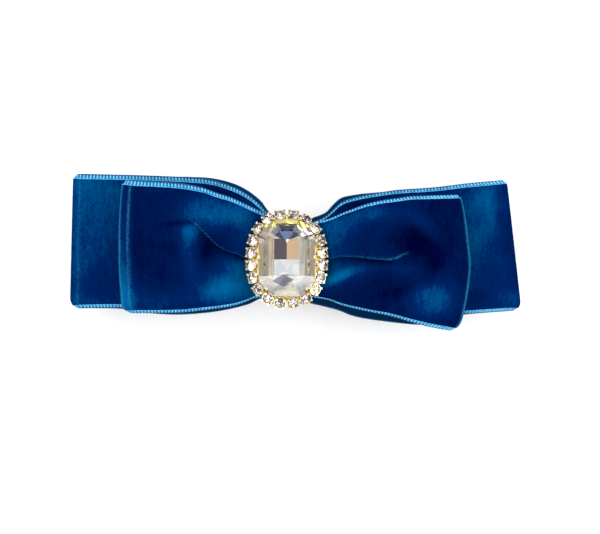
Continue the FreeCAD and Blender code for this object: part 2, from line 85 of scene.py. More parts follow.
class ClipRibbonSettings(bpy.types.PropertyGroup):
    thickness: measure("Ribbon Thickness", "Velvet and its backing together", 0.8 * MM, 0.0002, 0.002)
    stitch_pitch: measure("Selvage Pitch", "Distance between selvage stitches", 0.96 * MM, 0.0005, 0.003)
    stitch_length: measure("Selvage Width", "Length of one selvage stitch", 1.15 * MM, 0.0005, 0.003)
    # Deep, middle and lit: one velvet at three levels of painted light and shade, as well as the pile's
    # lie
    deep_and_shaded: colour("Deep Velvet", "Velvet looked at along its pile", (0.0, 0.0006, 0.020))
    middle: colour("Middle Velvet", "Velvet where the pile begins to lie over", (0.0, 0.011, 0.076))
    lit: colour("Lit Velvet", "Velvet where the pile lies flat", (0.0, 0.094, 0.25))
    # painted highlight along the folds' lips and far ends
    painted_rim_light: colour("Opened Pile", "Velvet split open along a fold", (0.02, 0.22, 0.42))
    sheen: colour("Pile Sheen", "Light caught by the pile at a grazing angle", (0.0, 0.35, 0.85))
    satin: colour("Satin Back", "Back of the ribbon", (0.0, 0.026, 0.095))
    stitch: colour("Selvage Thread", "Stitching along the ribbon's edges", (0.15, 0.60, 0.88))
    ground: colour("Selvage Ground", "Cloth under the stitching", (0.0, 0.150, 0.42))


class ClipBroochSettings(bpy.types.PropertyGroup):
    gold: colour("Gold Tone", "Plating of the cups, cradle and plate", (0.93, 0.80, 0.47))
    foil: colour("Foil", "Backing behind the stones", (0.97, 0.96, 0.95))


class ClipMetalSettings(bpy.types.PropertyGroup):
    nickel: colour("Nickel", "Plating of the barrette", (0.44, 0.43, 0.41))
    spring: colour("Spring Steel", "Tension strip and catch tabs", (0.36, 0.37, 0.39))


class ClipStageSettings(bpy.types.PropertyGroup):
    floor: colour("Floor", "Paper under the clip", (0.96, 0.96, 0.96))
    distance: measure("Camera Distance", "Height of the camera above the bow", 1.0, 0.1, 2.0)
    span: measure("View Width", "Width of view at the bow", 0.174, 0.05, 1.0)


# ---- mesh helpers
def deselect():
    if bpy.context.object and bpy.context.object.mode != "OBJECT":
        bpy.ops.object.mode_set(mode="OBJECT")
    bpy.ops.object.select_all(action="DESELECT")


def named(name):
    piece = bpy.context.object
    piece.name = piece.data.name = name
    return piece


def pick(piece):
    deselect()
    piece.select_set(True)
    bpy.context.view_layer.objects.active = piece


def settle(piece):
    """Puts the object's place into its mesh."""
    pick(piece)
    bpy.ops.object.transform_apply(location=True, rotation=True, scale=True)


def thicken(piece, thickness, back_slot=0):
    """Gives a sheet its wall, half to each side. Its back is in the slot back_slot further on."""
    wall = piece.modifiers.new("wall", "SOLIDIFY")
    wall.thickness = thickness
    wall.offset = 0.0
    wall.material_offset = back_slot
    pick(piece)
    bpy.ops.object.modifier_apply(modifier=wall.name)


def crease(degrees):
    bpy.ops.object.shade_smooth_by_angle(angle=math.radians(degrees))


def smooth(t):
    t = min(max(t, 0.0), 1.0)
    return t * t * (3 - 2 * t)


def grid_sheet(name, rows, columns, place):
    """A grid whose vertices go where place(along, across) says, both from 0 to 1."""
    deselect()
    bpy.ops.mesh.primitive_grid_add(x_subdivisions=rows, y_subdivisions=columns, size=1.0,
                                    calc_uvs=True)
    piece = named(name)
    for v in piece.data.vertices:
        v.co = place(v.co.x + 0.5, v.co.y + 0.5) * MM
    piece.data.update()
    return piece


def give(piece, *materials):
    piece.data.materials.clear()
    for m in materials:
        piece.data.materials.append(m)
    return piece


# ---- the ribbon's shape
def through(points, x):
    """Smooth curve through (x, y) points, straight beyond its ends."""
    last = len(points) - 1
    slopes = []
    for i in range(last + 1):
        a, b = points[max(i - 1, 0)], points[min(i + 1, last)]
        slopes.append((b[1] - a[1]) / (b[0] - a[0]))
    if x <= points[0][0]:
        return points[0][1]
    if x >= points[last][0]:
        return points[last][1] + slopes[last] * (x - points[last][0])
    i = max(k for k in range(last) if points[k][0] <= x)
    (x0, y0), (x1, y1) = points[i], points[i + 1]
    h = x1 - x0
    t = (x - x0) / h
    return ((1 + 2 * t) * (1 - t) ** 2 * y0 + t * (1 - t) ** 2 * h * slopes[i]
            + t * t * (3 - 2 * t) * y1 + t * t * (t - 1) * h * slopes[i + 1])


def lump(u, y, centre_u, centre_y, spread_u, spread_y, turn=0.0):
    """Round or long swelling: 1 at its centre, falling away to 0."""
    c, s = math.cos(math.radians(turn)), math.sin(math.radians(turn))
    du, dy = u - centre_u, y - centre_y
    return math.exp(-((du * c + dy * s) / spread_u) ** 2 - ((dy * c - du * s) / spread_y) ** 2)


class Ribbon:
    """One looped ribbon. u runs outwards from the pinch in mm, t across from -1 to 1.

    Each ribbon adds, for its left side (-1) and its right side (1):
    edges: points (u, y) of the lower and upper edge, over the top and underneath
    fold_lines: the main pleat's line, overlap, lift, far end and width of the painted highlight along
    its lip
    curls, borders: bend and woven width (against SELVAGE) of the lower and upper edge
    rim_lights: (u, amount) of the lines of painted highlight along the far fold
    shade: the pile's lie with painted light and shade: a value to start from, and lumps on it as
    (amount, u, y, spread u, spread y, turn)
    end_shift(side, t): how far the far fold stands back from its furthest reach
    """

    HALF_WIDTH = 19.0
    HALF_CLOTH = 0.45
    SELVAGE = 0.066
    PINCH_END = 5.5
    CREST_AT = 26.0
    TOP_CORNER, BOTTOM_CORNER = 1.6, 2.8
    PLEAT_SPREAD = 1.5
    STATIONS_PER_MM = 1.25
    fold_lines = {}

    def __init__(self, node, pinch_z, crest_z, tip_z, fold_r):
        low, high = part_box(node)
        self.reach = {-1: CLIP_X - low[0] / MM, 1: high[0] / MM - CLIP_X}
        self.pinch_z = pinch_z
        self.crest_z = crest_z
        self.tip_z = tip_z
        self.fold_r = fold_r
        self.stations = self.walk()

    def height(self, side, u, top):
        start, crest = self.pinch_z[top], self.crest_z[top]
        tip = self.tip_z + (self.fold_r if top else -self.fold_r)
        straight = self.reach[side] - self.fold_r
        if u < self.CREST_AT:
            rise = smooth((u - self.PINCH_END) / (self.CREST_AT - self.PINCH_END))
            z = start + (crest - start) * rise
        else:
            z = crest + (tip - crest) * smooth((u - self.CREST_AT) / (straight - self.CREST_AT))
        return z - self.HALF_CLOTH if top else z + self.HALF_CLOTH

    def walk(self):
        """Stations along the loop: underneath to the left fold, over the top, and back."""
        def one_side(side):
            straight = self.reach[side] - self.fold_r
            r = self.fold_r - self.HALF_CLOTH
            count = int(straight * self.STATIONS_PER_MM)
            over = [(side, 1, straight * i / count, self.height(side, straight * i / count, 1))
                    for i in range(count + 1)]
            turn = []
            for i in range(1, 18):
                a = math.radians(90 - 10 * i)
                turn.append((side, 0.5 + 0.5 * math.sin(a), straight + r * math.cos(a),
                             self.tip_z + r * math.sin(a)))
            under = [(side, 0, straight * i / count, self.height(side, straight * i / count, 0))
                     for i in range(count + 1)]
            return over + turn + under[::-1]
        left, right = one_side(-1), one_side(1)
        return left[::-1] + right[1:]

    def outline(self, side, over, u):
        """(bottom, top) edge of the ribbon at u, where over is 1 on top and 0 underneath."""
        upper, lower = self.edges[side]["over"], self.edges[side]["under"]
        pair = []
        for above, below in zip(upper, lower):
            y_over, y_under = through(above, u), through(below, u)
            pair.append(y_under + (y_over - y_under) * over)
        return pair

    def fold(self, side, u, t, bottom, top):
        """The main pleat: (shift across, lift) in mm, and the painted highlight along its lip, from 0 to
        1.
        """
        if side not in self.fold_lines:
            return 0.0, 0.0, 0.0
        line, overlap, lift, last, rim_light_width = self.fold_lines[side]
        middle_y, half = (top + bottom) / 2, (top - bottom) / 2
        at = (through(line, u) - middle_y) / half
        v = (t - at) * half / self.PLEAT_SPREAD
        strength = smooth((u - 2.0) / 5.0) * (1 - smooth((u - last + 11.0) / 13.0))
        shift = -overlap * strength * v * math.exp(-v * v / 2)
        rise = lift * math.sqrt(strength) * smooth((v + 1.7) / 3.4)
        if v > 1.7:
            rise *= math.exp(-((v - 1.7) * self.PLEAT_SPREAD / 7.0) ** 2)
        # noise that breaks the painted highlight along the lip into dashes
        rim_light_break = smooth(0.62 + 1.5 * noise.noise(Vector((side * u * 1.1, 0.0, 7.0))))
        lip = math.exp(-((v - 0.62) / rim_light_width) ** 2) * min(strength * 3, 1.0)
        return shift, rise, lip * (0.25 + 0.75 * rim_light_break)

    def relief(self, side, u, y):
        return 0.0

    def point(self, station, t):
        side, over, u, z = station
        reach = self.reach[side]
        far = smooth((u - 10.0) / (reach - 10.0))
        radius = self.TOP_CORNER if t > 0 else self.BOTTOM_CORNER
        corner = max(abs(t) * self.HALF_WIDTH - (self.HALF_WIDTH - radius), 0.0) / radius
        back = self.end_shift(side, t) + (radius - 0.2) * (1 - math.sqrt(max(1 - corner ** 2, 0.0)))
        x = u - back * far ** 3
        bottom, top = self.outline(side, over, u)
        y = (top + bottom) / 2 + (top - bottom) / 2 * t
        shift, lift, _ = self.fold(side, u, t, bottom, top)
        z += over * (lift + self.relief(side, u, y) * smooth((u - 3) / 6))
        y += shift * over
        edge = max(abs(t) - 0.80, 0.0) / 0.20
        z -= self.curls[side][1 if t > 0 else 0] * edge * edge * over
        z += 0.35 * noise.noise(Vector((side * u * 0.07, t * 1.3, 3.0 + self.tip_z))) * over
        return Vector((CLIP_X + side * x, y, z))

    def pile_edge(self, station, t_sign):
        """Where the pile stops and the woven border starts."""
        side, over, u, _ = station
        own = self.borders[side][1 if t_sign > 0 else 0]
        plain = (self.borders[-1][1] + self.borders[1][1]) / 2 if t_sign > 0 else 0.7
        return 1 - self.SELVAGE * (plain + (own - plain) * smooth((u - 4) / 6) * over)

    def across_pile(self, station, across):
        bottom, top = -self.pile_edge(station, -1), self.pile_edge(station, 1)
        return bottom + (top - bottom) * across

    def place(self, along, across):
        station = self.stations[round(along * (len(self.stations) - 1))]
        return self.point(station, self.across_pile(station, across))

    def nap_and_shade(self, station, t):
        """(lie and painted shade, painted highlight): how far the pile lies over, with painted light and
        shade, and painted highlights along the folds, both from 0 to 1.
        """
        side, over, u, _ = station
        bottom, top = self.outline(side, over, u)
        shift, _, lip = self.fold(side, u, t, bottom, top)
        y = (top + bottom) / 2 + (top - bottom) / 2 * t + shift
        value, patches = self.shade[side]
        # lumps of painted light and shade, laid on the pile's lie
        for amount, *spot in patches:
            value += amount * lump(u, y, *spot)
        # painted highlight along the pleat's lip and on lines along the far fold
        rim = 0.9 * lip * over
        for at, amount in self.rim_lights[side]:
            wander = 0.30 * noise.noise(Vector((0.0, t * 2.0, at)))
            rim += amount * smooth((over - 0.42) * 5) * math.exp(-((u - at - wander) / 0.26) ** 2)
        return value * over + 0.3 * (1 - over), min(rim, 1.0)


class BackRibbon(Ribbon):
    edges = {
        -1: {"over": (
            ((0, -12.2), (5, -12.2), (7.2, -12.4), (11.5, -13.2), (20.5, -15.2), (31, -16.4),
             (48.4, -16.2), (60, -16.4)),
            ((0, 8.6), (3, 9), (5.5, 10.6), (7.5, 12.8), (10.7, 15.6), (14.2, 17.7), (18.8, 19.5),
             (24, 20.7), (39.7, 21.6), (60.6, 22.2))),
        "under": (
            ((0, -13.2), (7.2, -13.4), (11.5, -15.3), (20.5, -17.3), (31, -18.2), (40, -17.8),
             (48.4, -16.6), (60, -16.4)),
            ((0, 8.8), (3, 9.4), (5.5, 11.4), (7.5, 14.2), (10.7, 16.9), (14.2, 18.9), (18.8, 20.4),
             (24, 21.2), (39.7, 21.5), (60.6, 22)))},
        1: {"over": (
            ((0, -12), (7.3, -12.2), (14.8, -13.4), (18.6, -14.4), (22.4, -15.3), (27.9, -16.6),
             (34.8, -18), (43, -18.6), (51.1, -18.1), (65.9, -17.2)),
            ((0, 8.4), (4, 7.9), (8.2, 8.5), (11.6, 10.1), (13.4, 11.7), (15.7, 13.8), (18.3, 14.9),
             (22.4, 15.9), (27.5, 16.8), (32.8, 17.5), (43.2, 18.2), (56, 19.5), (63.3, 20.1))),
        "under": (
            ((0, -13.5), (7.3, -15), (14.8, -16.9), (18.6, -18.4), (22.4, -19.3), (27.9, -20.1),
             (34.8, -20.9), (39.8, -21.1), (46, -19.6), (51.1, -18.4), (65.9, -17.2)),
            ((0, 8.6), (4, 8.6), (8.2, 9.7), (11.6, 11.2), (13.4, 13.2), (15.7, 15.2), (18.3, 15.9),
             (22.4, 16.5), (32.8, 17.3), (43.2, 18), (56, 19.3), (63.3, 20.1)))}}
    curls = {-1: (0.6, 0.0), 1: (0.6, 0.3)}
    borders = {-1: (0.7, 0.95), 1: (0.7, 0.75)}
    # lines of painted highlight along the far folds
    rim_lights = {-1: ((60.4, 0.22),), 1: ()}
    # painted light and shade on the pile's lie
    shade = {
        -1: (0.5, (
            (0.12, 62, 4, 3.5, 30), (0.12, 57, 19, 9, 4), (-0.1, 55, -8, 6, 7), (-0.3, 20, 17, 8, 2),
            (0.1, 56, -15, 8, 2), (0.12, 53, 13, 7, 7))),
        1: (0.49, (
            (0.14, 54, -1, 4, 10, -20), (0.16, 58, 15, 6, 4), (-0.16, 66.5, 0, 3, 14, 6),
            (-0.16, 54, -14, 5, 3), (-0.3, 20, 13, 6, 2), (0.1, 66, -14, 5, 3), (0.13, 61.5, 12, 3, 8)))}

    def end_shift(self, side, t):
        return 2.1 * (1 + t) - 0.5 if side > 0 else 0.45 * (1 + t) - 0.4


class FrontRibbon(Ribbon):
    edges = {
        -1: {"over": (
            ((0, -12.8), (5, -12.9), (9.8, -13.5), (11.5, -14.3), (15.2, -15.5), (20.5, -16.4),
             (25.8, -17), (31, -17.5), (46.1, -17.7)),
            ((0, 8.6), (3, 9), (5, 10.2), (7.8, 11.4), (11.5, 13.1), (16.1, 15.2), (20.5, 16.6),
             (24, 17.9), (31, 19.2), (45.5, 20.1))),
        "under": (
            ((0, -12.4), (11.5, -13.6), (20.5, -15.8), (31, -16.9), (46.1, -17.4)),
            ((0, 8.4), (7.8, 10.7), (11.5, 12.6), (16.1, 14.6), (24, 17.1), (31, 18.4), (45.5, 19.6)))},
        1: {"over": (
            ((0, -12.8), (6, -13), (11.9, -13.9), (15.7, -15.3), (19.5, -16.3), (24.1, -17.3),
             (29.9, -18.4), (36.6, -20), (43.2, -21.3), (49, -22.2)),
            ((0, 8.4), (6, 8), (11.9, 9), (16.9, 11.1), (18.6, 11.7), (21.2, 12.7), (24.1, 13.6),
             (27.9, 14.4), (32.8, 15), (36.6, 15.5), (49, 15.9))),
        "under": (
            ((0, -12.4), (11.9, -13.2), (19.5, -15.6), (29.9, -17.6), (43.2, -20.5), (49, -21.8)),
            ((0, 8.2), (11.9, 8.4), (18.6, 11), (24.1, 12.8), (32.8, 14.2), (49, 15.6)))}}
    fold_lines = {
        -1: (((6, -1.9), (9, -1.4), (11.9, -0.5), (13.9, 0.7), (16.5, 1.5), (18.8, 2.4), (20.8, 3.7),
              (23.7, 5.9), (26.8, 8.1), (31, 9.6), (40, 10.5)), 4.4, 2.6, 28.5, 0.17),
        1: (((6, -1.9), (10, -1.5), (14.8, -0.5), (18.5, -0.4), (24.1, -1.0), (27, -1.6),
             (30.5, -2.3), (33.5, -1.8), (40, -0.2)), 3.6, 2.2, 34.5, 0.24),
    }
    curls = {-1: (1.6, -0.3), 1: (1.5, 0.7)}
    borders = {-1: (0.68, 1.0), 1: (0.6, 0.72)}
    # lines of painted highlight along the far folds
    rim_lights = {-1: ((45.6, 0.55), (47.8, 0.95)), 1: ((52.3, 0.95),)}
    # painted light and shade on the pile's lie
    shade = {
        -1: (0.17, (
            (0.44, 18, 10.5, 9, 4.4, -22), (0.36, 27, 10.5, 6.5, 4.5, -20),
            (0.44, 15, -10.5, 13, 4.8, 6), (0.42, 8, -2, 7, 12), (0.36, 28, 4.8, 3.4, 3.2, 15),
            (0.22, 28, -3.5, 2.2, 5, -8), (0.2, 27.5, 0.3, 2.4, 3.4), (-0.19, 23.3, 0.6, 3, 4, -35),
            (-0.08, 35, 3, 6, 8), (-0.22, 13.5, -1.6, 5, 0.8, 18), (-0.36, 29.8, 8, 4.2, 1, -7),
            (0.34, 37, -15, 14, 3.8, 4), (0.36, 47.4, 0, 2.2, 40), (0.34, 47.4, -11, 3.4, 8),
            (-0.06, 43, 3, 1.8, 12), (0.06, 30, 17.5, 20, 1.5), (0.24, 20.5, -12, 6, 4),
            (0.26, 12.5, 8, 3.6, 4.5), (0.22, 12.5, -4, 4.5, 3), (0.14, 18, -3, 3.5, 2.6),
            (0.15, 24, 14.5, 5, 2.4, -20))),
        1: (0.19, (
            (0.24, 10, 0, 5, 12), (0.4, 15, 7, 6, 5, 15), (0.44, 13.5, -8, 7, 1.6, 22),
            (0.26, 15.5, -5, 6, 6), (0.3, 23, 10, 6, 2.8, 8), (0.16, 22.5, -5.4, 6, 1.8, 12),
            (0.18, 30, 11, 9, 2.6, -12), (0.12, 39, 8, 9, 2.4, -42), (-0.26, 25, -2.9, 6, 0.8, -5),
            (-0.26, 37.5, 2, 5.5, 5, -40), (-0.18, 42.5, -4.5, 3, 6, -10), (0.16, 33.5, -5.5, 4.5, 2.4),
            (-0.14, 34, -11.5, 8, 2.2, 12), (0.44, 44.6, -12.8, 6.2, 4.6, -30),
            (0.26, 39, -12.2, 4.6, 4, 10), (0.2, 41, -17.5, 7, 3), (-0.1, 47, 5, 3.5, 9)))}

    def end_shift(self, side, t):
        if side < 0:
            return 1.0 * t * t
        return 2.8 * t ** 1.6 if t > 0 else 3.4 * (-t) ** 1.8

    def relief(self, side, u, y):
        if side < 0:
            z = 1.3 * lump(u, y, 17, 10, 9, 4.5, -20) - 2.4 * lump(u, y, 23, 0.5, 3.4, 4.6, -35)
            z += 1.0 * lump(u, y, 28.5, 1, 3, 6, 20) + 1.6 * lump(u, y, 15, -8, 7, 4.5)
            z -= 0.8 * lump(u, y, 31, 10, 5, 2.2, 20)
            return z + 0.7 * lump(u, y, 38, 2, 10, 12)
        z = 1.2 * lump(u, y, 38, 8, 9, 2.6, -42) - 2.8 * lump(u, y, 36, 3, 5.5, 4.2, -20)
        z += 1.6 * lump(u, y, 35.5, -5.5, 4.2, 2.8) - 1.4 * lump(u, y, 41, -7.5, 1.8, 4.5, -15)
        z -= 1.0 * lump(u, y, 33, -11.5, 7, 1.6, 12)
        z += 1.2 * lump(u, y, 14.5, -8, 8, 2.0, 22) + 1.2 * lump(u, y, 17, 6, 7, 4, 15)
        return z + 0.6 * lump(u, y, 44, -12, 5, 6)


BACK = BackRibbon("back_bow", (15.05, 17.25), (14.0, 20.0), 12.9, 2.7)
FRONT = FrontRibbon("front_bow", (17.4, 19.6), (20.5, 27.3), 22.5, 3.4)


# ---- material helpers
def feed(socket, value):
    """Links an output to the socket, or sets the socket's own value."""
    if hasattr(value, "is_linked"):
        socket.id_data.links.new(value, socket)
    else:
        socket.default_value = (*value, 1.0) if socket.type == "RGBA" else value


def set_inputs(node, **values):
    for key, value in values.items():
        feed(node.inputs[key.replace("_", " ")], value)


def add(nodes, kind, **values):
    node = nodes.new("ShaderNode" + kind)
    set_inputs(node, **values)
    return node


def new_material(name):
    material = bpy.data.materials.new(name)
    material.use_nodes = True
    nodes = material.node_tree.nodes
    return material, nodes, nodes["Principled BSDF"]


def shared_group(name, inputs, outputs):
    """Makes the function under it place a node group, which is filled on first use."""
    def decorate(fill):
        def place(nodes, **values):
            tree = bpy.data.node_groups.get(name)
            if tree is None:
                tree = bpy.data.node_groups.new(name, "ShaderNodeTree")
                for way, sockets in (("INPUT", inputs), ("OUTPUT", outputs)):
                    for label, kind in sockets.items():
                        tree.interface.new_socket(label, in_out=way, socket_type="NodeSocket" + kind)
                put = tree.nodes.new("NodeGroupInput").outputs
                set_inputs(tree.nodes.new("NodeGroupOutput"), **fill(tree.nodes, put))
            node = nodes.new("ShaderNodeGroup")
            node.node_tree = tree
            set_inputs(node, **values)
            return node.outputs
        return place
    return decorate


def clouds(nodes, vector, scale, detail=4.0, rough=0.55):
    return add(nodes, "TexNoise", Vector=vector, Scale=scale, Detail=detail,
               Roughness=rough).outputs["Fac"]


def stretched(nodes, vector, scale):
    return add(nodes, "Mapping", Vector=vector, Scale=scale).outputs[0]


def maths(nodes, kind, *values, clamp=False):
    node = nodes.new("ShaderNodeMath")
    node.operation = kind
    node.use_clamp = clamp
    for socket, value in zip(node.inputs, values):
        feed(socket, value)
    return node.outputs[0]


def weigh(nodes, value, share, rest):
    return maths(nodes, "ADD", maths(nodes, "MULTIPLY", value, share), rest)


def above(nodes, value, start, gain):
    """Nothing below start, then rising to 1 as steeply as gain says."""
    return maths(nodes, "MULTIPLY", maths(nodes, "SUBTRACT", value, start, clamp=True), gain, clamp=True)


def mix_colour(nodes, factor, a, b):
    node = nodes.new("ShaderNodeMix")
    node.data_type = "RGBA"
    for index, value in ((0, factor), (6, a), (7, b)):
        feed(node.inputs[index], value)
    return node.outputs[2]


def bump(nodes, height, strength, distance):
    return add(nodes, "Bump", Height=height, Strength=strength, Distance=distance).outputs["Normal"]


def object_space(nodes):
    return nodes.new("ShaderNodeTexCoord").outputs["Object"]


def darker(tint, share):
    return tuple(c * share for c in tint)


# ---- shared effects
@shared_group("velvet_pile",
              {"Vector": "Vector", "NapAndShade": "Float", "Rim": "Float", "Deep": "Color",
               "Middle": "Color", "Lit": "Color", "PaintedRimLight": "Color"},
              {"Color": "Color", "Height": "Float", "Roughness": "Float"})
def velvet_pile(n, put):
    """Velvet pile: brushed patches, short streaks and a fine grain over three depths of colour, which
    stand for painted light and shade as well as the pile's lie; the rim input paints a highlight.
    """
    patches = clouds(n, put["Vector"], 95.0, 3.0)
    streaks = clouds(n, stretched(n, put["Vector"], (1.0, 0.3, 1.0)), 900.0, 3.0, 0.6)
    grain = clouds(n, put["Vector"], 2600.0, 2.0)
    total = put["NapAndShade"]
    for layer, share in ((patches, 0.34), (streaks, 0.30), (grain, 0.44)):
        total = weigh(n, maths(n, "SUBTRACT", layer, 0.5), share, total)
    # painted light and shade with the pile's lie pick the tone from Deep through Middle to Lit
    low = maths(n, "MULTIPLY", total, 2.0, clamp=True)
    high = maths(n, "MULTIPLY_ADD", total, 2.0, -1.0, clamp=True)
    tone = mix_colour(n, low, put["Deep"], put["Middle"])
    tone = mix_colour(n, high, tone, put["Lit"])
    # painted highlight along the folds, broken up by the grain
    rim_light = maths(n, "MULTIPLY", put["Rim"], above(n, grain, 0.30, 2.6))
    return {"Color": mix_colour(n, rim_light, tone, put["PaintedRimLight"]),
            "Height": weigh(n, streaks, 0.5, grain),
            "Roughness": weigh(n, grain, 0.2, 0.7)}


@shared_group("metal_wear",
              {"Vector": "Vector", "Plating": "Color", "Tarnish": "Color", "Polish": "Float",
               "Brushing": "Float"},
              {"Color": "Color", "Roughness": "Float", "Height": "Float"})
def metal_wear(n, put):
    """Handling marks on plated metal: fine scratches, smudges and a little tarnish."""
    scratches = clouds(n, stretched(n, put["Vector"], (0.05, 1.0, 1.0)), 5200.0, 3.0)
    smudge = clouds(n, put["Vector"], 160.0)
    spots = clouds(n, put["Vector"], 700.0, 5.0, 0.7)
    dark = above(n, spots, 0.52, 3.0)
    return {"Color": mix_colour(n, dark, put["Plating"], put["Tarnish"]),
            "Roughness": weigh(n, dark, 0.2, weigh(n, smudge, 0.16, put["Polish"])),
            "Height": maths(n, "MULTIPLY", scratches, put["Brushing"])}


@shared_group("spun_thread",
              {"Vector": "Vector", "Dye": "Color", "Shade": "Color", "Fineness": "Float"},
              {"Color": "Color", "Height": "Float"})
def spun_thread(n, put):
    """Spun thread: twist lines and uneven dye."""
    dye = clouds(n, put["Vector"], 380.0, 3.0)
    fibre = clouds(n, put["Vector"], put["Fineness"], 2.0, 0.5)
    both = weigh(n, dye, 1.1, maths(n, "MULTIPLY", fibre, 0.9))
    factor = maths(n, "SUBTRACT", both, 0.55, clamp=True)
    return {"Color": mix_colour(n, factor, put["Shade"], put["Dye"]), "Height": fibre}


@shared_group("foil_painted_glints",
              {"Vector": "Vector", "Flakes": "Float", "Silver": "Color", "Warm": "Color",
               "Cool": "Color", "Dark": "Color", "Darkness": "Float"},
              {"Color": "Color", "Roughness": "Float"})
def foil_painted_glints(n, put):
    """Silver backing foil with painted reflections: facet-sized patches in two tints and a dark one
    stand in for what the facets reflect.
    """
    cells = add(n, "TexVoronoi", Vector=put["Vector"], Scale=put["Flakes"])
    parts = add(n, "SeparateColor", Color=cells.outputs["Color"]).outputs
    # warm, cool and dark patches are painted reflections
    warm = maths(n, "GREATER_THAN", parts["Green"], 0.66)
    cool = maths(n, "GREATER_THAN", parts["Blue"], 0.72)
    dark = maths(n, "LESS_THAN", parts["Red"], put["Darkness"])
    tone = mix_colour(n, warm, put["Silver"], put["Warm"])
    tone = mix_colour(n, cool, tone, put["Cool"])
    return {"Color": mix_colour(n, dark, tone, put["Dark"]),
            "Roughness": maths(n, "MULTIPLY", parts["Green"], 0.12)}


# ---- materials
def velvet(name, settings):
    material, n, bsdf = new_material(name)
    # attributes: the pile's lie with painted light and shade, and a painted highlight along the folds
    # (rim)
    nap_and_shade, rim = n.new("ShaderNodeAttribute"), n.new("ShaderNodeAttribute")
    nap_and_shade.attribute_name, rim.attribute_name = "nap_and_shade", "rim"
    pile = velvet_pile(n, Vector=object_space(n), NapAndShade=nap_and_shade.outputs["Fac"], Rim=rim.outputs["Fac"],
                       Deep=settings.deep_and_shaded, Middle=settings.middle, Lit=settings.lit,
                       PaintedRimLight=settings.painted_rim_light)
    set_inputs(bsdf, Base_Color=pile["Color"], Roughness=pile["Roughness"],
               Normal=bump(n, pile["Height"], 0.3, 0.0002), Specular_IOR_Level=0.0,
               Sheen_Weight=0.35, Sheen_Roughness=0.25, Sheen_Tint=settings.sheen)
    return material


def satin(name, tint):
    material, n, bsdf = new_material(name)
    cloth = n.new("ShaderNodeTexCoord").outputs["UV"]
    weave = add(n, "TexWave", Vector=cloth, Scale=260.0, Distortion=1.0, Detail=2.0).outputs["Fac"]
    cloudy = clouds(n, object_space(n), 300.0)
    set_inputs(bsdf, Base_Color=mix_colour(n, weave, darker(tint, 0.5), tint),
               Roughness=weigh(n, cloudy, 0.25, 0.45),
               Normal=bump(n, weave, 0.2, 0.0001), Specular_IOR_Level=0.02,
               Sheen_Weight=0.20, Sheen_Roughness=0.35, Sheen_Tint=(0.0, 0.30, 0.75))
    return material


def thread(name, dye, shade, fineness=900.0):
    material, n, bsdf = new_material(name)
    spun = spun_thread(n, Vector=object_space(n), Dye=dye, Shade=shade, Fineness=fineness)
    set_inputs(bsdf, Base_Color=spun["Color"], Normal=bump(n, spun["Height"], 0.4, 0.0001),
               Roughness=0.5, Specular_IOR_Level=0.12, Sheen_Weight=0.15, Sheen_Roughness=0.4,
               Sheen_Tint=dye)
    return material


def plated(name, plating, tarnish, polish, brushing):
    material, n, bsdf = new_material(name)
    wear = metal_wear(n, Vector=object_space(n), Plating=plating, Tarnish=tarnish, Polish=polish,
                      Brushing=brushing)
    set_inputs(bsdf, Base_Color=wear["Color"], Roughness=wear["Roughness"],
               Normal=bump(n, wear["Height"], 0.15, 0.00005), Metallic=1.0)
    return material


def cut_glass(name, tint, smudge):
    material, n, bsdf = new_material(name)
    haze = clouds(n, object_space(n), 240.0)
    film = maths(n, "MULTIPLY", maths(n, "SUBTRACT", haze, 0.5, clamp=True), smudge)
    set_inputs(bsdf, Base_Color=mix_colour(n, haze, (1.0, 1.0, 1.0), tint), Roughness=film,
               Transmission_Weight=1.0, IOR=1.56)
    return material


def foil(name, **looks):
    material, n, bsdf = new_material(name)
    backing = foil_painted_glints(n, Vector=object_space(n), **looks)
    set_inputs(bsdf, Base_Color=backing["Color"], Roughness=backing["Roughness"], Metallic=1.0)
    return material


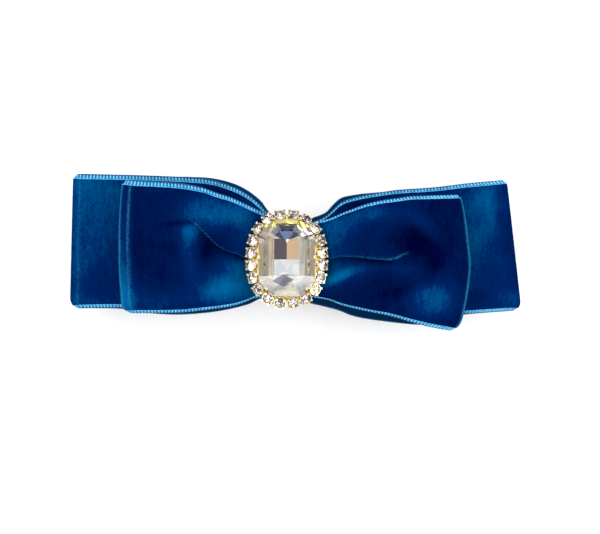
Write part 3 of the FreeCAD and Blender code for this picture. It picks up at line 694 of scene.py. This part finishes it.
def foil_painted_reflections(name, centre, silver):
    """Silver foil behind the long stone with painted reflections: dark and tan above the middle, silver
    below, a blue eye on top.
    """
    material, n, bsdf = new_material(name)
    space = object_space(n)
    in_mm = add(n, "Mapping", Vector=space, Location=tuple(-c / MM for c in centre),
                Scale=(1 / MM, 1 / MM, 1 / MM)).outputs[0]
    split = add(n, "SeparateXYZ", Vector=in_mm).outputs
    x, y = split["X"], split["Y"]
    streaks = clouds(n, stretched(n, space, (1.0, 0.12, 1.0)), 900.0, 2.0)

    def past(value, edge):
        return maths(n, "GREATER_THAN", value, edge)

    def short_of(value, edge):
        return maths(n, "LESS_THAN", value, edge)

    def within(centre_x, centre_y, half_x, half_y, power):
        """1 inside a lozenge (power 1) or an eye (power 2), else 0."""
        across = maths(n, "DIVIDE", maths(n, "SUBTRACT", x, centre_x), half_x)
        along = maths(n, "DIVIDE", maths(n, "SUBTRACT", y, centre_y), half_y)
        across = maths(n, "POWER", maths(n, "ABSOLUTE", across), power)
        return short_of(maths(n, "ADD", across, maths(n, "ABSOLUTE", along)), 1.0)

    # painted glints: pale and white facet-sized patches
    facets = add(n, "TexVoronoi", Vector=in_mm, Scale=0.42)
    facets.distance = "MANHATTAN"
    glints = add(n, "SeparateColor", Color=facets.outputs["Color"]).outputs
    pale = mix_colour(n, glints["Red"], (0.74, 0.82, 0.90), silver)
    pale = mix_colour(n, past(glints["Green"], 0.72), pale, (1.0, 1.0, 1.0))
    bands = mix_colour(n, past(x, 0.0), (0.11, 0.08, 0.11), (0.80, 0.56, 0.34))
    tan = mix_colour(n, streaks, (0.40, 0.30, 0.20), (0.98, 0.90, 0.76))
    sage = mix_colour(n, streaks, (0.34, 0.35, 0.28), (0.92, 0.92, 0.82))
    crown = mix_colour(n, streaks, (0.40, 0.38, 0.38), (1.0, 0.98, 0.94))
    # painted reflections: a blue eye, a violet lozenge and gold along the top edge; pale facets at the
    # heel
    blue_eye, violet, gold = (0.045, 0.06, 0.12), (0.30, 0.31, 0.42), (0.98, 0.82, 0.20)
    heel = short_of(y, -5.4)
    tone = pale
    for zone, paint in ((past(y, -0.8), bands), (short_of(x, -3.6), tan), (past(x, 3.6), sage),
                        (past(y, 5.2), crown), (within(0.0, 6.9, 4.4, 2.0, 2.0), blue_eye),
                        (heel, pale), (within(-0.9, -6.6, 3.0, 1.5, 1.0), violet),
                        (past(y, 8.6), gold)):
        tone = mix_colour(n, zone, tone, paint)
    rough = weigh(n, streaks, 0.12, maths(n, "MULTIPLY", heel, 0.32))
    set_inputs(bsdf, Base_Color=tone, Roughness=rough, Metallic=1.0)
    return material


def cloudy_glue():
    material, n, bsdf = new_material("cloudy_glue")
    space = object_space(n)
    cloud = clouds(n, space, 350.0, 5.0)
    set_inputs(bsdf, Base_Color=mix_colour(n, cloud, (0.36, 0.38, 0.38), (0.66, 0.66, 0.61)),
               Normal=bump(n, clouds(n, space, 700.0, 2.0), 0.5, 0.0003), Roughness=0.32,
               Subsurface_Weight=0.3, Subsurface_Radius=(0.002, 0.002, 0.0015))
    return material


def matted_felt():
    material, n, bsdf = new_material("matted_felt")
    space = object_space(n)
    mat = clouds(n, space, 1500.0, 6.0, 0.7)
    mixed = maths(n, "MULTIPLY", mat, clouds(n, space, 220.0))
    set_inputs(bsdf, Base_Color=mix_colour(n, mixed, (0.002, 0.004, 0.018), (0.03, 0.05, 0.13)),
               Normal=bump(n, mat, 0.8, 0.0003), Roughness=0.95, Sheen_Weight=0.4,
               Sheen_Roughness=0.6)
    return material


# ---- operators
class ClipCamera(bpy.types.Operator):
    """Looks straight down on the bow"""
    bl_idname = "hair_clip.camera"
    bl_label = "Camera"

    def execute(self, context):
        stage = context.scene.clip_stage
        deselect()
        bpy.ops.object.camera_add(location=VIEW_CENTRE + Vector((0, 0, stage.distance)),
                                  rotation=(0, 0, 0))
        camera = context.object
        camera.name = "camera"
        camera.data.sensor_width = 36.0
        camera.data.lens = 36.0 * stage.distance / stage.span
        camera.data.clip_start = 0.01
        context.scene.camera = camera
        return {"FINISHED"}


def make_ribbon(context, ribbon, name, node):
    settings = context.scene.clip_ribbon
    rows, columns = len(ribbon.stations) - 1, 72
    piece = grid_sheet(name, rows, columns, ribbon.place)
    # per vertex: the pile's lie with painted light and shade, and the painted highlight along the folds
    nap_and_shade = piece.data.attributes.new("nap_and_shade", "FLOAT", "POINT")
    rim = piece.data.attributes.new("rim", "FLOAT", "POINT")
    for v in piece.data.vertices:
        station = ribbon.stations[v.index % (rows + 1)]
        across = v.index // (rows + 1) / columns
        values = ribbon.nap_and_shade(station, ribbon.across_pile(station, across))
        nap_and_shade.data[v.index].value, rim.data[v.index].value = values
    give(piece, velvet(name + "_velvet", settings), satin(name + "_satin", settings.satin))
    thicken(piece, settings.thickness, back_slot=1)
    crease(55)
    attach(piece, ROOT)
    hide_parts(node)
    return piece


def edge_frames(ribbon, t):
    """Points along the ribbon's edge: place, ways ahead, inward and out, and step to the pile."""
    rows = len(ribbon.stations)
    side = 1 if t > 0 else -1
    frames = []
    spots = [ribbon.point(station, t) for station in ribbon.stations]
    inner = [ribbon.point(station, t * 0.93) for station in ribbon.stations]
    for i, p in enumerate(spots):
        ahead = (spots[min(i + 1, rows - 1)] - spots[max(i - 1, 0)]).normalized()
        inward = (inner[i] - p).normalized()
        out = inward.cross(ahead).normalized() * side
        station = ribbon.stations[i]
        pile = ribbon.point(station, ribbon.pile_edge(station, t) * side)
        frames.append((p, ahead, inward, out, pile - p))
    return frames


def resample(line, pitch):
    spots, run, due = [], 0.0, 0.0
    for a, b in zip(line, line[1:]):
        step = (b[0] - a[0]).length
        while due <= run + step and step > 0:
            f = (due - run) / step
            spots.append(tuple(x.lerp(y, f) for x, y in zip(a, b)))
            due += pitch
        run += step
    return spots


def cord_mesh(name, points, radius, sides=3):
    """A thin round cord along points in mm, as a closed mesh."""
    deselect()
    bpy.ops.curve.primitive_nurbs_path_add()
    cord = bpy.context.object
    cord.name = name
    curve = cord.data
    curve.splines.clear()
    spline = curve.splines.new("POLY")
    spline.points.add(len(points) - 1)
    for spot, p in zip(spline.points, points):
        spot.co = (*(p * MM), 1.0)
    curve.bevel_depth = radius * MM
    curve.bevel_resolution = sides - 2
    curve.use_fill_caps = True
    bpy.ops.object.convert(target="MESH")
    return named(name)


def join(pieces, name):
    deselect()
    for piece in pieces:
        piece.select_set(True)
    bpy.context.view_layer.objects.active = pieces[0]
    bpy.ops.object.join()
    return named(name)


def stitch_pattern(length, width, high):
    """One low rounded stitch, lying along X from the origin, drawn in to a point at both ends."""
    deselect()
    bpy.ops.mesh.primitive_cylinder_add(vertices=8, radius=0.5 * MM, depth=length * 0.6 * MM,
                                        location=(length / 2 * MM, 0, 0),
                                        rotation=(0, math.pi / 2, 0), end_fill_type="NGON")
    pattern = named("stitch")
    settle(pattern)
    bpy.ops.object.mode_set(mode="EDIT")
    shape = bmesh.from_edit_mesh(pattern.data)
    for face in shape.faces:
        face.select_set(abs(face.normal.x) > 0.9)
    bmesh.update_edit_mesh(pattern.data)
    bpy.ops.mesh.inset(thickness=0.22 * MM, depth=0.2 * length * MM)
    bpy.ops.object.mode_set(mode="OBJECT")
    for v in pattern.data.vertices:
        v.co.y *= width
        v.co.z *= 2 * high
    return pattern


def lay_copies(pattern, places, name):
    """Copies the pattern to each matrix, and joins the copies into one piece."""
    collection = bpy.context.collection
    copies = []
    for place in places:
        copy = pattern.copy()
        copy.data = pattern.data.copy()
        copy.data.transform(place)
        collection.objects.link(copy)
        copies.append(copy)
    bpy.data.objects.remove(pattern)
    return join(copies, name)


def make_selvage(context, ribbon, name):
    """Woven border on both edges: ground, slanted stitches, a chain line and a rim cord."""
    settings = context.scene.clip_ribbon
    pitch, length = settings.stitch_pitch / MM, settings.stitch_length / MM
    rows = len(ribbon.stations) - 1
    parts, places = [], []
    for edge in (-1, 1):
        def ground(along, across, edge=edge):
            station = ribbon.stations[round(along * rows)]
            start = ribbon.pile_edge(station, edge) - 0.012
            outward = across if edge > 0 else 1 - across
            return ribbon.point(station, edge * (start + (0.998 - start) * outward))
        band = grid_sheet(name + "_ground", rows, 3, ground)
        give(band, thread(name + "_ground", settings.ground, darker(settings.ground, 0.6)),
             satin(name + "_underside", settings.satin))
        thicken(band, settings.thickness * 0.45, back_slot=1)
        crease(55)
        parts.append(band)
        frames = edge_frames(ribbon, edge * 0.995)
        lift = settings.thickness / MM * 0.22
        for p, ahead, inward, out, near in resample(frames, pitch):
            sway = 0.07 * noise.noise(p * 0.9)
            lean = (inward + ahead * (0.36 + sway)).normalized()
            across = out.cross(lean).normalized()
            start = p + out * (lift + 0.07)
            size = near.length / (length + 0.15)
            places.append(Matrix((lean * size, across, out)).transposed().to_4x4())
            places[-1].translation = start * MM
        chain = [p + near + out * (lift + 0.14) for p, _, _, out, near in frames]
        parts.append(give(cord_mesh(name + "_chain", chain, 0.12),
                          thread(name + "_chain", settings.stitch, settings.ground, 1500.0)))
        rim = [p - inward * 0.05 for p, _, inward, _, _ in frames]
        parts.append(give(cord_mesh(name + "_rim", rim, 0.27),
                          thread(name + "_rim", darker(settings.ground, 0.5), settings.satin)))
    stitches = lay_copies(stitch_pattern(length, 0.46, 0.11), places, name + "_stitches")
    give(stitches, thread(name + "_stitches", settings.stitch, darker(settings.stitch, 0.5)))
    piece = join([stitches, *parts], name)
    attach(piece, ROOT)
    return piece


class ClipBackRibbon(bpy.types.Operator):
    """The long velvet ribbon, looped both ways, with its selvages"""
    bl_idname = "hair_clip.back_ribbon"
    bl_label = "Back Ribbon"

    def execute(self, context):
        ribbon = make_ribbon(context, BACK, "back_ribbon", "back_bow")
        selvage = make_selvage(context, BACK, "back_selvage")
        return {"FINISHED"}


class ClipFrontRibbon(bpy.types.Operator):
    """The short velvet ribbon on top, with its pleats and selvages"""
    bl_idname = "hair_clip.front_ribbon"
    bl_label = "Front Ribbon"

    def execute(self, context):
        ribbon = make_ribbon(context, FRONT, "front_ribbon", "front_bow")
        selvage = make_selvage(context, FRONT, "front_selvage")
        return {"FINISHED"}


def pinch_path(gap):
    """Closed line round both ribbons and the base at the pinch, in the YZ plane."""
    low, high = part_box("binding_thread")
    y0, y1 = low[1] / MM, high[1] / MM - 1.7
    z0, z1 = low[2] / MM, high[2] / MM
    corners = [(y0 - gap, 15.0), (y0 - gap, z1 + gap), (y1 + gap, z1 + gap), (y1 + gap, 15.0),
               (CLIP_Y + 5.2 + gap, z0 - gap), (CLIP_Y - 5.2 - gap, z0 - gap)]
    path = []
    for i in range(6):
        a, b, c = (Vector(corners[(i + step) % 6]) for step in (-1, 0, 1))
        p = b + (a - b).normalized() * 1.4
        q = b + (c - b).normalized() * 1.4
        for f in (0.0, 0.33, 0.67, 1.0):
            path.append(p.lerp(b, f).lerp(b.lerp(q, f), f))
        if (c - b).length > 6:
            for f in (0.35, 0.5, 0.65):
                path.append(b.lerp(c, f))
    return path


class ClipCentreWrap(bpy.types.Operator):
    """The narrow ribbon round the pinch and the thread under it"""
    bl_idname = "hair_clip.centre_wrap"
    bl_label = "Centre Wrap"

    def execute(self, context):
        settings = context.scene.clip_ribbon
        path = pinch_path(0.55)
        path.append(path[0])

        def place(along, across):
            spot = along * (len(path) - 1)
            i = min(int(spot), len(path) - 2)
            p = path[i].lerp(path[i + 1], spot - i)
            x = CLIP_X + (across - 0.5) * WRAP_WIDTH
            ripple = 0.12 * math.sin(across * math.pi * 5) * (1 - abs(2 * across - 1) ** 6)
            p = p + (p - Vector((PINCH_Y, 17.0))).normalized() * ripple
            return Vector((x, p.x, p.y))

        wrap = grid_sheet("centre_band", len(path) * 2, 24, place)
        nap_and_shade = wrap.data.attributes.new("nap_and_shade", "FLOAT", "POINT")
        for v in nap_and_shade.data:
            v.value = 0.35
        give(wrap, velvet("wrap_velvet", settings))
        pick(wrap)
        bpy.ops.object.mode_set(mode="EDIT")
        bpy.ops.mesh.select_all(action="SELECT")
        bpy.ops.mesh.remove_doubles(threshold=0.00002)
        bpy.ops.mesh.normals_make_consistent(inside=False)
        bpy.ops.object.mode_set(mode="OBJECT")
        thicken(wrap, 0.7 * MM)
        bpy.ops.object.shade_smooth()
        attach(wrap, ROOT)
        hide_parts("centre_wrap")

        loop = pinch_path(-0.3)
        turns, pitch, start = [], 0.5, -0.9
        for turn in range(4):
            for i, p in enumerate(loop):
                turns.append(Vector((CLIP_X + start + pitch * (turn + i / len(loop)), p.x, p.y)))
        turns_piece = cord_mesh("binding_turns", turns, 0.26, 4)
        give(turns_piece, thread("binding_cotton", (0.01, 0.06, 0.2), (0.0, 0.01, 0.05)))
        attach(turns_piece, ROOT)
        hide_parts("binding_thread")
        return {"FINISHED"}


class ClipFelt(bpy.types.Operator):
    """Felt pad between the base and the bow"""
    bl_idname = "hair_clip.felt"
    bl_label = "Felt Pad"

    def execute(self, context):
        low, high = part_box("felt_lining")
        half = (high[0] - low[0]) / MM / 2
        top, edge = high[2] / MM, low[2] / MM + 0.9
        radius = (half ** 2 + (top - edge) ** 2) / (2 * (top - edge))

        def place(along, across):
            u = (2 * along - 1) * (half - 0.3)
            t = 2 * across - 1
            near_end = max(abs(u) - (half - 2.3), 0.0) / 2.0
            half_width = 4.75 - 1.9 * (1 - math.sqrt(max(1 - near_end ** 2, 0.0)))
            ragged = 0.12 * noise.noise(Vector((u * 0.9, t * 2.0, 0.0)))
            z = top - 0.6 - radius + math.sqrt(radius ** 2 - u ** 2)
            return Vector((CLIP_X + u, CLIP_Y + (half_width + ragged) * t, z))

        pad = grid_sheet("felt_pad", 120, 18, place)
        give(pad, matted_felt())
        thicken(pad, 1.1 * MM)
        crease(50)
        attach(pad, ROOT)
        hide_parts("felt_lining")
        return {"FINISHED"}


class ClipBarrette(bpy.types.Operator):
    """Finishes of the base, arm, strip, pin and catch"""
    bl_idname = "hair_clip.barrette"
    bl_label = "Barrette"

    def execute(self, context):
        metal = context.scene.clip_metal
        nickel = plated("satin_nickel", metal.nickel, (0.32, 0.28, 0.22), 0.22, 0.6)
        spring = plated("spring_steel", metal.spring, (0.20, 0.19, 0.20), 0.26, 1.0)
        polished = plated("polished_pin", (0.78, 0.77, 0.74), (0.36, 0.33, 0.29), 0.12, 0.2)
        finishes = {nickel: ("barrette_base", "barrette_arm", "catch_plate"),
                    spring: ("tension_strip", "catch_tab_front", "catch_tab_rear"),
                    polished: ("hinge_pin", "catch_rivet")}
        for finish, nodes in finishes.items():
            for node in nodes:
                give(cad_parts[node], finish)
        return {"FINISHED"}


class ClipGlue(bpy.types.Operator):
    """The set pool of glue that holds the brooch on the centre wrap"""
    bl_idname = "hair_clip.glue"
    bl_label = "Glue"

    def execute(self, context):
        low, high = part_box("glue_pad")
        centre = middle("glue_pad")
        half_x, half_y = (high[0] - low[0]) / MM / 2 - 0.3, (high[1] - low[1]) / MM / 2 - 0.5
        bottom = low[2] / MM - 0.1
        slope = math.tan(BROOCH_LEAN)
        top_here = high[2] / MM - 0.15 + slope * (low[1] / MM)
        deselect()
        bpy.ops.mesh.primitive_uv_sphere_add(segments=64, ring_count=28, radius=1.0)
        blob = named("glue_pool")
        for v in blob.data.vertices:
            across, along, high_up = v.co
            angle = math.atan2(along, across)
            belly = (1 - abs(high_up) ** 5) ** 0.2 if abs(high_up) < 1 else 0.0
            foot = 1.10 - 0.16 * smooth((high_up + 1.0) / 1.3) + 0.05 * smooth(high_up)
            drip = 1 + 0.05 * noise.noise(Vector((math.cos(angle) * 2, math.sin(angle) * 2, high_up)))
            x = centre.x + half_x * belly * foot * drip * math.cos(angle)
            y = centre.y + half_y * belly * foot * drip * math.sin(angle)
            z = bottom + (top_here - slope * y - bottom) * (high_up + 1) / 2
            v.co = Vector((x, y, z)) * MM
        blob.data.update()
        bpy.ops.object.shade_smooth()
        give(blob, cloudy_glue())
        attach(blob, ROOT)
        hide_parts("glue_pad")
        return {"FINISHED"}


class ClipBrooch(bpy.types.Operator):
    """Finishes of the plate, cradle, cups and stones"""
    bl_idname = "hair_clip.brooch"
    bl_label = "Brooch"

    def execute(self, context):
        brooch = context.scene.clip_brooch
        gold = plated("gold_tone", brooch.gold, (0.62, 0.45, 0.16), 0.12, 0.2)
        crystal = cut_glass("crystal", (0.99, 0.985, 0.97), 0.04)
        backing = foil_painted_reflections("crystal_foil_reflections", middle("centre_crystal") * MM, brooch.foil)
        chaton = cut_glass("chaton", (0.99, 0.97, 0.95), 0.03)
        # silver foil with painted glints and dark reflections in facet-sized patches
        chaton_foil_glints = foil("chaton_foil_glints", Silver=brooch.foil, Warm=(0.90, 0.78, 0.60),
                           Cool=(0.78, 0.70, 0.88), Dark=(0.16, 0.14, 0.13), Darkness=0.34,
                           Flakes=1500.0)
        up = Vector((0, math.sin(BROOCH_LEAN), math.cos(BROOCH_LEAN)))
        middle_of_ring = middle("brooch_plate") * MM
        for node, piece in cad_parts.items():
            if node in ("brooch_plate", "crystal_cradle") or node.startswith("rhinestone_cup"):
                give(piece, gold)
            elif node == "centre_crystal":
                give(piece, crystal, backing)
                self.back_with_foil(piece, up)
            elif node.startswith("rhinestone_"):
                give(piece, chaton, chaton_foil_glints)
                out = middle(node) * MM - middle_of_ring
                out -= up * out.dot(up)
                axis = up * math.cos(CUP_LEAN) + out.normalized() * math.sin(CUP_LEAN)
                self.back_with_foil(piece, axis)
        return {"FINISHED"}

    def back_with_foil(self, piece, axis):
        for face in piece.data.polygons:
            face.material_index = 1 if face.normal.dot(axis) < -0.1 else 0


class ClipStage(bpy.types.Operator):
    """Pale paper floor and soft studio light"""
    bl_idname = "hair_clip.stage"
    bl_label = "Stage"

    def execute(self, context):
        stage = context.scene.clip_stage
        deselect()
        bpy.ops.mesh.primitive_grid_add(x_subdivisions=8, y_subdivisions=8, size=4.0,
                                        location=(0, 0, -0.00002))
        floor = named("paper_floor")
        settle(floor)
        material, n, bsdf = new_material("paper")
        tooth = clouds(n, object_space(n), 900.0)
        paper = mix_colour(n, tooth, darker(stage.floor, 0.985), stage.floor)
        set_inputs(bsdf, Base_Color=paper, Roughness=0.85)
        give(floor, material)

        for name, place, size, power in (("window", (-0.10, 0.75, 0.80), (1.3, 0.7), 11.0),
                                         ("fill_right", (0.75, -0.10, 0.75), (0.5, 0.9), 4.5),
                                         ("fill_front", (-0.30, -0.75, 0.70), (0.8, 0.5), 4.5)):
            deselect()
            bpy.ops.object.light_add(type="AREA", location=place)
            light = context.object
            light.name = name
            light.data.shape = "RECTANGLE"
            light.data.size, light.data.size_y = size
            light.data.energy = power
            way = LIGHTS_AIM - Vector(place)
            light.rotation_euler = way.to_track_quat("-Z", "Y").to_euler()
        world = bpy.data.worlds.new("studio")
        context.scene.world = world
        world.use_nodes = True
        set_inputs(world.node_tree.nodes["Background"], Color=(1, 1, 1), Strength=0.85)
        context.scene.view_settings.view_transform = "Standard"
        return {"FINISHED"}


STEPS = (ClipCamera, ClipFelt, ClipBackRibbon, ClipFrontRibbon, ClipCentreWrap, ClipGlue,
         ClipBarrette, ClipBrooch, ClipStage)


class ClipPanel(bpy.types.Panel):
    """Lists the clip's pieces and their settings"""
    bl_idname = "VIEW3D_PT_hair_clip"
    bl_label = "Hair Clip"
    bl_space_type = "VIEW_3D"
    bl_region_type = "UI"
    bl_category = "Hair Clip"

    def draw(self, context):
        for settings in (context.scene.clip_ribbon, context.scene.clip_brooch,
                         context.scene.clip_metal, context.scene.clip_stage):
            box = self.layout.box()
            for key in settings.__annotations__:
                box.prop(settings, key)
        for step in STEPS:
            self.layout.operator(step.bl_idname)


SETTINGS = {"clip_ribbon": ClipRibbonSettings, "clip_brooch": ClipBroochSettings,
            "clip_metal": ClipMetalSettings, "clip_stage": ClipStageSettings}


def register():
    for cls in (*SETTINGS.values(), *STEPS, ClipPanel):
        bpy.utils.register_class(cls)
    for key, cls in SETTINGS.items():
        setattr(bpy.types.Scene, key, PointerProperty(type=cls))


def unregister():
    for key in SETTINGS:
        delattr(bpy.types.Scene, key)
    for cls in (ClipPanel, *reversed(STEPS), *reversed(SETTINGS.values())):
        bpy.utils.unregister_class(cls)


def main():
    register()
    for step in STEPS:
        area, verb = step.bl_idname.split(".")
        getattr(getattr(bpy.ops, area), verb)()


if __name__ == "__main__":
    main()
